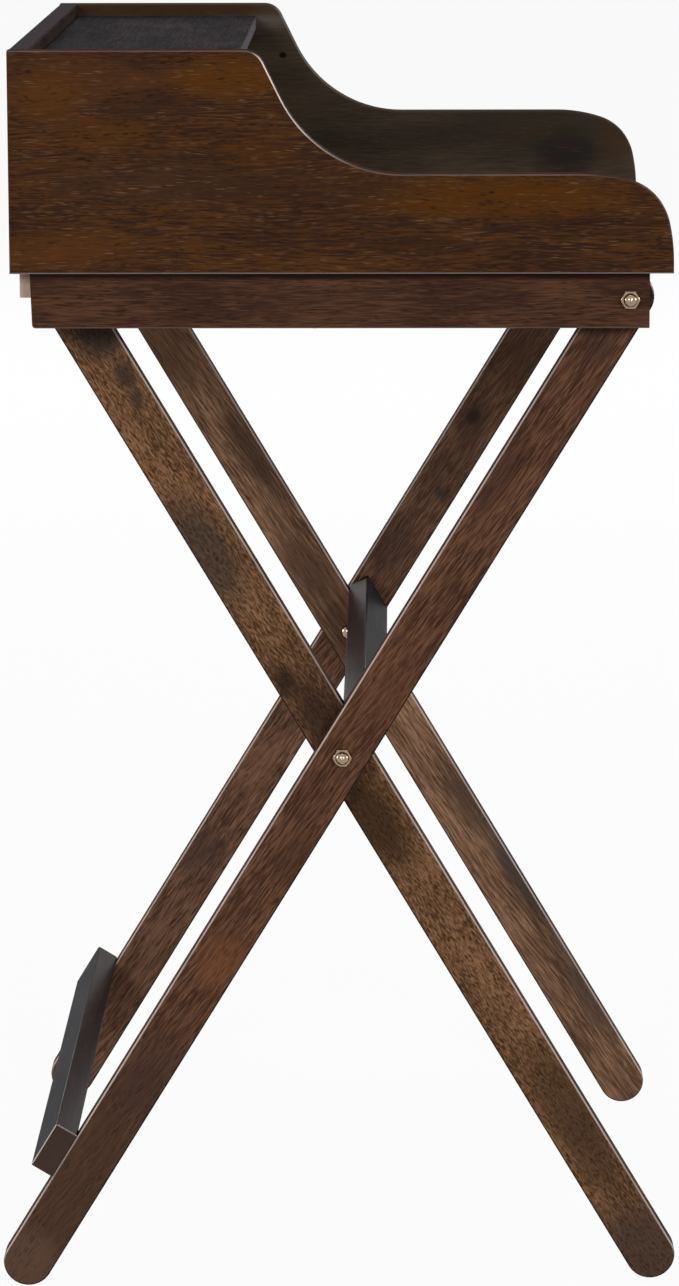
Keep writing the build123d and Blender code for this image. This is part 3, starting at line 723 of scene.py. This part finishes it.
# Their wide faces that look up: a cooler black, painted sheen that stands in for the cool reflection on
# them, under a soft lacquer sheen
SHEEN_PAINTED_STRETCHER_WOOD = replace(
    STRETCHER_WOOD, name="walnut_stained_stretcher_painted_sheen", dark="#1d1b1d", middle="#272427",
    light="#322e31")
# Shelf, desk and back: flat boards with a duller dark stain and a faint painted highlight on their arrises
BOARD_WOOD = StainedWood(
    name="walnut_stained_inner_board", dark="#302825", middle="#403632", light="#4f413a", pore="#1f1613",
    pore_strength=0.5, pore_length=14.0, arris_highlight="#857a76", arris_highlight_strength=0.05, lacquer=0.025)
# The back's arrises keep little lacquer, its inner face is darkened with painted shade and its edge faces
# lightened with painted light; the shelf's front edge carries a pale painted highlight
BACK_EDGE_WOOD = replace(
    BOARD_WOOD, name="walnut_stained_inner_back", dark="#27211f", middle="#332b28", light="#3f3530",
    edge_shine=0.1, edge_face_light_shade="#4b4342", edge_face_light_shade_strength=0.9)
SHELF_WOOD = replace(
    BOARD_WOOD, name="walnut_stained_shelf", dark="#2e2a2a", middle="#3d3736", light="#4b4443",
    edge_face_light_shade="#726b70", edge_face_light_shade_strength=0.7)
# Dowels: unstained turned beech, pale and even
DOWEL_WOOD = StainedWood(
    name="plain_turned_beech", dark="#a98a63", middle="#c3a67c", light="#d2b68d", pore="#8a6a44",
    arris_highlight_strength=0.0, end_grain="#b4966c")
# Cap nuts and crossing bolts: bright nickel, mirror-like with a warm cast
WARM_NICKEL = PlatedMetal(
    name="bright_warm_nickel_plate", colour="#a79785", tarnish="#8e7457", roughness=0.13)
# Washers, screws and pivot bolts: grey-white zinc with a soft shine
ZINC = PlatedMetal(
    name="bright_zinc_plated_steel", colour="#b9bab8", tarnish="#9c9c98", roughness=0.34)


@dataclass(frozen=True)
class Board:
    """One wooden node with its finish, the way it lies and the number that seeds its figure.

    A second finish, where there is one, covers only the wide face that looks right, back or up.
    """

    node: str
    finish: StainedWood
    kind: BoardKind
    seed: float
    second: StainedWood | None = None

    def material(self) -> Material:
        """Make the board's own material.

        Returns:
            The material.
        """
        material = empty_material(f"{self.finish.name}_{self.seed:g}")
        tree = material.node_tree
        low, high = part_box(self.node)
        axes = board_axes(self.kind)
        wood = self.finish.surface(tree, (low + high) / 2, axes, self.seed)
        if self.second:
            other = self.second.surface(tree, (low + high) / 2, axes, self.seed + Layer.SECOND_FACE)
            normal = add_node(tree, "TexCoord").outputs["Normal"]
            facing = add_node(tree, "VectorMath", {
                0: normal, 1: axes.col[2]}, operation="DOT_PRODUCT").outputs["Value"]
            share = add_node(tree, "MapRange", {"Value": facing, **SECOND_FACING.limits()}).outputs[0]
            colour = add_node(tree, "Mix", {
                SHARE: share, COLOUR_A: wood.colour, COLOUR_B: other.colour},
                data_type="RGBA").outputs[COLOUR_RESULT]
            height, roughness, lacquer = [
                add_node(tree, "Mix", {SHARE: share, VALUE_A: first, VALUE_B: second}).outputs[0]
                for first, second in ((wood.height, other.height), (wood.roughness, other.roughness),
                                      (wood.lacquer, other.lacquer))]
            wood = WoodSurface(colour, height, roughness, lacquer)
        bump = add_node(tree, "Bump", {
            "Strength": GRAIN_RELIEF, "Distance": GRAIN_DEPTH * MM, "Height": wood.height}).outputs[0]
        shader = add_node(tree, "BsdfPrincipled", {
            "Base Color": wood.colour, "Roughness": wood.roughness, "Normal": bump,
            "Specular IOR Level": 0.0, "Coat Weight": wood.lacquer,
            "Coat Roughness": LACQUER_ROUGHNESS, "Coat IOR": LACQUER_IOR})
        add_node(tree, "OutputMaterial", {"Surface": shader.outputs[0]})
        return material


@dataclass
class SubAssembly:
    """Pieces that move together: boards with sanded edges, and plated hardware.

    Sizes are in millimetres and angles in degrees.
    """

    body: str
    boards: tuple[Board, ...]
    plated: dict[str, PlatedMetal]
    weld_reach: float = 0.01
    edge_softness: float = 0.5
    edge_steps: int = 2
    edge_angle: float = 30.0

    def build(self) -> None:
        """Dress the boards and the hardware."""
        for board in self.boards:
            self._dress(board)
        for node, finish in self.plated.items():
            put_material(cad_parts[node], finish.material())
            LOG.info("%s: dressed %s with %s", self.body, node, finish.name)

    def _dress(self, board: Board) -> None:
        """Give a board its own figure and soften its edges, as sanding does.

        Args:
            board: The board.
        """
        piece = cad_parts[board.node]
        put_material(piece, board.material())
        weld = piece.modifiers.new("joined_faces", "WELD")
        weld.merge_threshold = self.weld_reach * MM
        bevel = piece.modifiers.new("sanded_edges", "BEVEL")
        bevel.width = self.edge_softness * MM
        bevel.segments = self.edge_steps
        bevel.limit_method = "ANGLE"
        bevel.angle_limit = math.radians(self.edge_angle)
        bevel.harden_normals = True
        LOG.info("%s: dressed %s with %s", self.body, board.node, board.finish.name)


@dataclass
class Tray(SubAssembly):
    """The tray: sides, back, desk, shelf, rails and cleat, with the screws that hold the strips up."""

    body: str = "tray"
    boards: tuple[Board, ...] = (
        Board("left_side_panel", PANEL_WOOD, BoardKind.SIDE, 1, SHADED_INSIDE_PANEL_WOOD),
        Board("right_side_panel", FAR_PANEL_WOOD, BoardKind.SIDE, 2, RIGHT_PANEL_WOOD),
        Board("back_panel", BACK_EDGE_WOOD, BoardKind.UPRIGHT, 3, BACK_WOOD),
        Board("desk_board", BOARD_WOOD, BoardKind.LEVEL, 4),
        Board("upper_shelf", SHELF_WOOD, BoardKind.LEVEL, 5),
        Board("left_rail", RAIL_WOOD, BoardKind.SIDE, 6),
        Board("right_rail", RAIL_WOOD, BoardKind.SIDE, 7),
        Board("rear_cleat", CLEAT_WOOD, BoardKind.UPRIGHT, 8),
        Board("desk_dowels", DOWEL_WOOD, BoardKind.LEVEL, 9),
        Board("shelf_dowels", DOWEL_WOOD, BoardKind.LEVEL, 10),
        Board("back_dowels", DOWEL_WOOD, BoardKind.LEVEL, 11))
    plated: dict[str, PlatedMetal] = field(default_factory=lambda: {
        "pivot_bolts": ZINC, "pivot_cap_nuts": WARM_NICKEL, "pivot_washers": ZINC})
    screw_head: float = 7.0
    screw_crown: float = 1.3
    screw_inset: float = 6.0
    screw_rings: tuple[tuple[float, float], ...] = ((1.0, 0.0), (0.98, 0.4), (0.88, 0.8), (0.66, 1.0))
    screw_steps: int = 32
    screw_crease: float = 35.0
    recess_arm: float = 3.6
    recess_width: float = 1.1
    recess_depth: float = 1.0
    recess_taper: float = 0.6
    rail_screws: int = 3
    rail_first_share: float = 0.22
    rail_next_share: float = 0.32
    rail_turn: float = 25.0
    cleat_screws: int = 3
    cleat_turn: float = 40.0

    def build(self) -> None:
        """Dress the tray and drive its screws."""
        super().build()
        finish = ZINC.material()
        for strip in ("left_rail", "right_rail"):
            low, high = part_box(strip)
            inner = high.x if high.x < 0 else low.x
            middle = inner + math.copysign(self.screw_inset * MM, inner)
            for index in range(self.rail_screws):
                share = self.rail_first_share + self.rail_next_share * index
                spot = Vector((middle, low.y + (high.y - low.y) * share, low.z))
                self._screw(f"{strip}_screw_{index + 1}", spot, self.rail_turn * index, finish)
        low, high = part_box("rear_cleat")
        for index in range(self.cleat_screws):
            share = (index + 0.5) / self.cleat_screws
            spot = Vector((low.x + (high.x - low.x) * share, (low.y + high.y) / 2, low.z))
            self._screw(f"rear_cleat_screw_{index + 1}", spot, self.cleat_turn * index, finish)

    def _screw(self, name: str, spot: Vector, turn: float, finish: Material) -> None:
        """Make one pan-head screw with a cross recess, its head down under a strip.

        Args:
            name: The piece's name.
            spot: Where its head meets the strip, in metres.
            turn: How far its recess is turned, in degrees.
            finish: Its plating.
        """
        mesh = bpy.data.meshes.new(name)
        shape = bmesh.new()
        steps = self.screw_steps
        rows = []
        for reach, rise in self.screw_rings:
            rows.append([shape.verts.new((
                self.screw_head / 2 * reach * math.cos(2 * math.pi * step / steps),
                self.screw_head / 2 * reach * math.sin(2 * math.pi * step / steps),
                -self.screw_crown * rise)) for step in range(steps)])
        for upper, lower in zip(rows, rows[1:]):
            for step in range(steps):
                after = (step + 1) % steps
                shape.faces.new((upper[step], upper[after], lower[after], lower[step]))
        self._recess(shape, rows[-1])
        bmesh.ops.recalc_face_normals(shape, faces=shape.faces)
        shape.transform(Matrix.Scale(MM, 4))
        for face in shape.faces:
            face.smooth = True
        shape.to_mesh(mesh)
        shape.free()
        mesh.set_sharp_from_angle(angle=math.radians(self.screw_crease))
        screw = bpy.data.objects.new(name, mesh)
        screw.location = spot
        screw.rotation_euler = (0, 0, math.radians(turn))
        bpy.context.scene.collection.objects.link(screw)
        put_material(screw, finish)
        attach(screw, self.body)
        LOG.info("%s: drove %s", self.body, name)

    def _recess(self, shape: bmesh.types.BMesh, rim: list[bmesh.types.BMVert]) -> None:
        """Fill the top of a screw head with a cross-shaped recess.

        Args:
            shape: The head so far, in millimetres, its crown downwards.
            rim: The ring of points round the top.
        """
        half, arm = self.recess_width / 2, self.recess_arm / 2
        outline = [(arm, -half), (arm, half), (half, half), (half, arm), (-half, arm), (-half, half),
                   (-arm, half), (-arm, -half), (-half, -half), (-half, -arm), (half, -arm), (half, -half)]
        level = rim[0].co.z
        mouth = [shape.verts.new((x, y, level)) for x, y in outline]
        taper, bottom = self.recess_taper, level + self.recess_depth
        floor = [shape.verts.new((x * taper, y * taper, bottom)) for x, y in outline]
        count = len(outline)
        for index in range(count):
            after = (index + 1) % count
            shape.faces.new((mouth[index], mouth[after], floor[after], floor[index]))
        shape.faces.new(floor)
        edges = [shape.edges.get((rim[step], rim[(step + 1) % len(rim)])) for step in range(len(rim))]
        edges += [shape.edges.get((mouth[index], mouth[(index + 1) % count])) for index in range(count)]
        bmesh.ops.triangle_fill(shape, edges=edges, use_beauty=True)


@dataclass
class OuterLegFrame(SubAssembly):
    """The outer legs with the lower stretcher on their back edges, and the crossing's hardware."""

    body: str = "outer_leg_frame"
    boards: tuple[Board, ...] = (
        Board("left_outer_leg", OUTER_LEG_WOOD, BoardKind.OUTER_LEG, 12),
        Board("right_outer_leg", FAR_OUTER_LEG_WOOD, BoardKind.OUTER_LEG, 13),
        Board("lower_stretcher", STRETCHER_WOOD, BoardKind.LOWER_BAR, 14, SHEEN_PAINTED_STRETCHER_WOOD),
        Board("lower_stretcher_dowels", DOWEL_WOOD, BoardKind.LOWER_BAR, 15))
    plated: dict[str, PlatedMetal] = field(default_factory=lambda: {
        "cross_bolts": WARM_NICKEL, "cross_cap_nuts": WARM_NICKEL, "cross_washers": ZINC})


@dataclass
class InnerLegFrame(SubAssembly):
    """The inner legs with the middle stretcher on their front edges."""

    body: str = "inner_leg_frame"
    boards: tuple[Board, ...] = (
        Board("left_inner_leg", INNER_LEG_WOOD, BoardKind.INNER_LEG, 16),
        Board("right_inner_leg", FAR_INNER_LEG_WOOD, BoardKind.INNER_LEG, 17),
        Board("middle_stretcher", STRETCHER_WOOD, BoardKind.MIDDLE_BAR, 18, SHEEN_PAINTED_STRETCHER_WOOD),
        Board("middle_stretcher_dowels", DOWEL_WOOD, BoardKind.MIDDLE_BAR, 19))
    plated: dict[str, PlatedMetal] = field(default_factory=dict)


@dataclass(frozen=True)
class Softbox:
    """One square lamp, with its place in metres and its power in watts."""

    name: str
    place: tuple[float, float, float]
    power: float


@dataclass
class Studio:
    """A white floor, broad softboxes round the table and a weak one above, in a dim cool room.

    Sizes and places are in metres.
    """

    floor_reach: float = 60.0
    paper: str = "#dededc"
    floor_white: float = 0.94
    room: str = "#a3b2cd"
    room_strength: float = 0.3
    softbox_size: float = 1.6
    softbox_aim: tuple[float, float, float] = (0.0, 0.0, 0.5)
    softboxes: tuple[Softbox, ...] = (
        Softbox("near_front_softbox", (-6.0, -2.4, 2.8), 152.0),
        Softbox("near_back_softbox", (-6.0, 2.4, 2.8), 152.0),
        Softbox("far_front_softbox", (6.0, -2.4, 2.8), 138.0),
        Softbox("far_back_softbox", (6.0, 2.4, 2.8), 138.0),
        Softbox("front_softbox", (0.0, -6.0, 1.7), 100.0),
        Softbox("back_softbox", (0.0, 6.0, 1.7), 125.0),
        Softbox("top_softbox", (0.0, 0.0, 5.0), 14.0))

    def build(self) -> None:
        """Make the floor, the room light and the lamps."""
        self._floor()
        self._room()
        for softbox in self.softboxes:
            self._lamp(softbox)

    def _floor(self) -> None:
        """Lay the white paper floor, which keeps a faint shadow and is clear from below."""
        mesh = bpy.data.meshes.new("studio_floor")
        reach = self.floor_reach / 2
        corners = [(-reach, -reach, 0), (reach, -reach, 0), (reach, reach, 0), (-reach, reach, 0)]
        mesh.from_pydata(corners, [], [(0, 1, 2, 3)])
        floor = bpy.data.objects.new("studio_floor", mesh)
        bpy.context.scene.collection.objects.link(floor)
        material = empty_material("matt_white_background_paper")
        tree = material.node_tree
        share = add_node(tree, "Math", {
            0: self._seen(tree), 1: self.floor_white}, operation="MULTIPLY").outputs[0]
        paper = add_node(tree, "BsdfDiffuse", {"Color": linear(self.paper)}).outputs[0]
        white = add_node(tree, "Emission", {"Color": WHITE, "Strength": 1.0}).outputs[0]
        mixed = add_node(tree, "MixShader", {0: share, 1: paper, 2: white}).outputs[0]
        below = add_node(tree, "NewGeometry").outputs["Backfacing"]
        clear = add_node(tree, "BsdfTransparent").outputs[0]
        mixed = add_node(tree, "MixShader", {0: below, 1: mixed, 2: clear}).outputs[0]
        add_node(tree, "OutputMaterial", {"Surface": mixed})
        put_material(floor, material)

    @staticmethod
    def _seen(tree: NodeTree) -> NodeSocket:
        """Tell the rays that show the background from those that light the table.

        Args:
            tree: The node tree of the floor or the room.

        Returns:
            1 for what the camera sees, straight, mirrored or through glass, and 0 for the rest.
        """
        path = add_node(tree, "LightPath")
        seen = path.outputs["Is Camera Ray"]
        for ray in ("Is Glossy Ray", "Is Transmission Ray"):
            seen = add_node(tree, "Math", {0: seen, 1: path.outputs[ray]}, operation="MAXIMUM").outputs[0]
        return seen

    def _room(self) -> None:
        """Light the table dimly from all round, with white for the camera and for reflections."""
        world = bpy.data.worlds.new("dim_studio_room")
        world.use_nodes = True
        tree = world.node_tree
        tree.nodes.clear()
        light = add_node(tree, "Background", {
            "Color": linear(self.room), "Strength": self.room_strength}).outputs[0]
        white = add_node(tree, "Background", {"Color": WHITE, "Strength": 1.0}).outputs[0]
        mixed = add_node(tree, "MixShader", {0: self._seen(tree), 1: light, 2: white}).outputs[0]
        add_node(tree, "OutputWorld", {"Surface": mixed})
        bpy.context.scene.world = world

    def _lamp(self, softbox: Softbox) -> None:
        """Hang one softbox that points at the middle of the table.

        Args:
            softbox: The softbox.
        """
        data = bpy.data.lights.new(softbox.name, "AREA")
        data.shape = "SQUARE"
        data.size = self.softbox_size
        data.energy = softbox.power
        lamp = bpy.data.objects.new(softbox.name, data)
        lamp.location = softbox.place
        ahead = Vector(self.softbox_aim) - Vector(softbox.place)
        lamp.rotation_euler = ahead.to_track_quat("-Z", "Y").to_euler()
        bpy.context.scene.collection.objects.link(lamp)


@dataclass
class PhotoCamera:
    """The camera of the photograph, at the table's left side and a little above it.

    Its place and reach are in metres, its angles in degrees and its sensor in millimetres.
    """

    place: Vector = field(default_factory=lambda: Vector((-3.9073, -0.0434, 1.1977)))
    yaw: float = 0.670
    pitch: float = 10.773
    roll: float = 0.122
    focal_length_pixels: float = 4896.8
    sensor: float = 36.0
    reach: float = 200.0

    def build(self) -> None:
        """Make the camera and use it for the picture."""
        yaw, pitch = math.radians(self.yaw), math.radians(self.pitch)
        ahead = Vector((math.cos(pitch) * math.cos(yaw), math.cos(pitch) * math.sin(yaw), -math.sin(pitch)))
        data = bpy.data.cameras.new("photo_camera")
        data.sensor_fit = "AUTO"
        data.sensor_width = self.sensor
        data.lens = self.focal_length_pixels / PHOTO_HEIGHT * self.sensor
        data.clip_end = self.reach
        camera = bpy.data.objects.new("photo_camera", data)
        level = ahead.to_track_quat("-Z", "Y").to_matrix()
        camera.matrix_world = Matrix.Translation(self.place) @ (
            level @ Matrix.Rotation(math.radians(-self.roll), 3, "Z")).to_4x4()
        bpy.context.scene.collection.objects.link(camera)
        bpy.context.scene.camera = camera


def main() -> None:
    """Build the table's looks, the studio and the camera."""
    logging.basicConfig(level=logging.INFO, format="%(message)s")
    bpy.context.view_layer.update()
    bpy.context.scene.view_settings.view_transform = "Standard"
    for assembly in (Tray(), OuterLegFrame(), InnerLegFrame()):
        assembly.build()
    Studio().build()
    PhotoCamera().build()


if __name__ == "__main__":
    main()
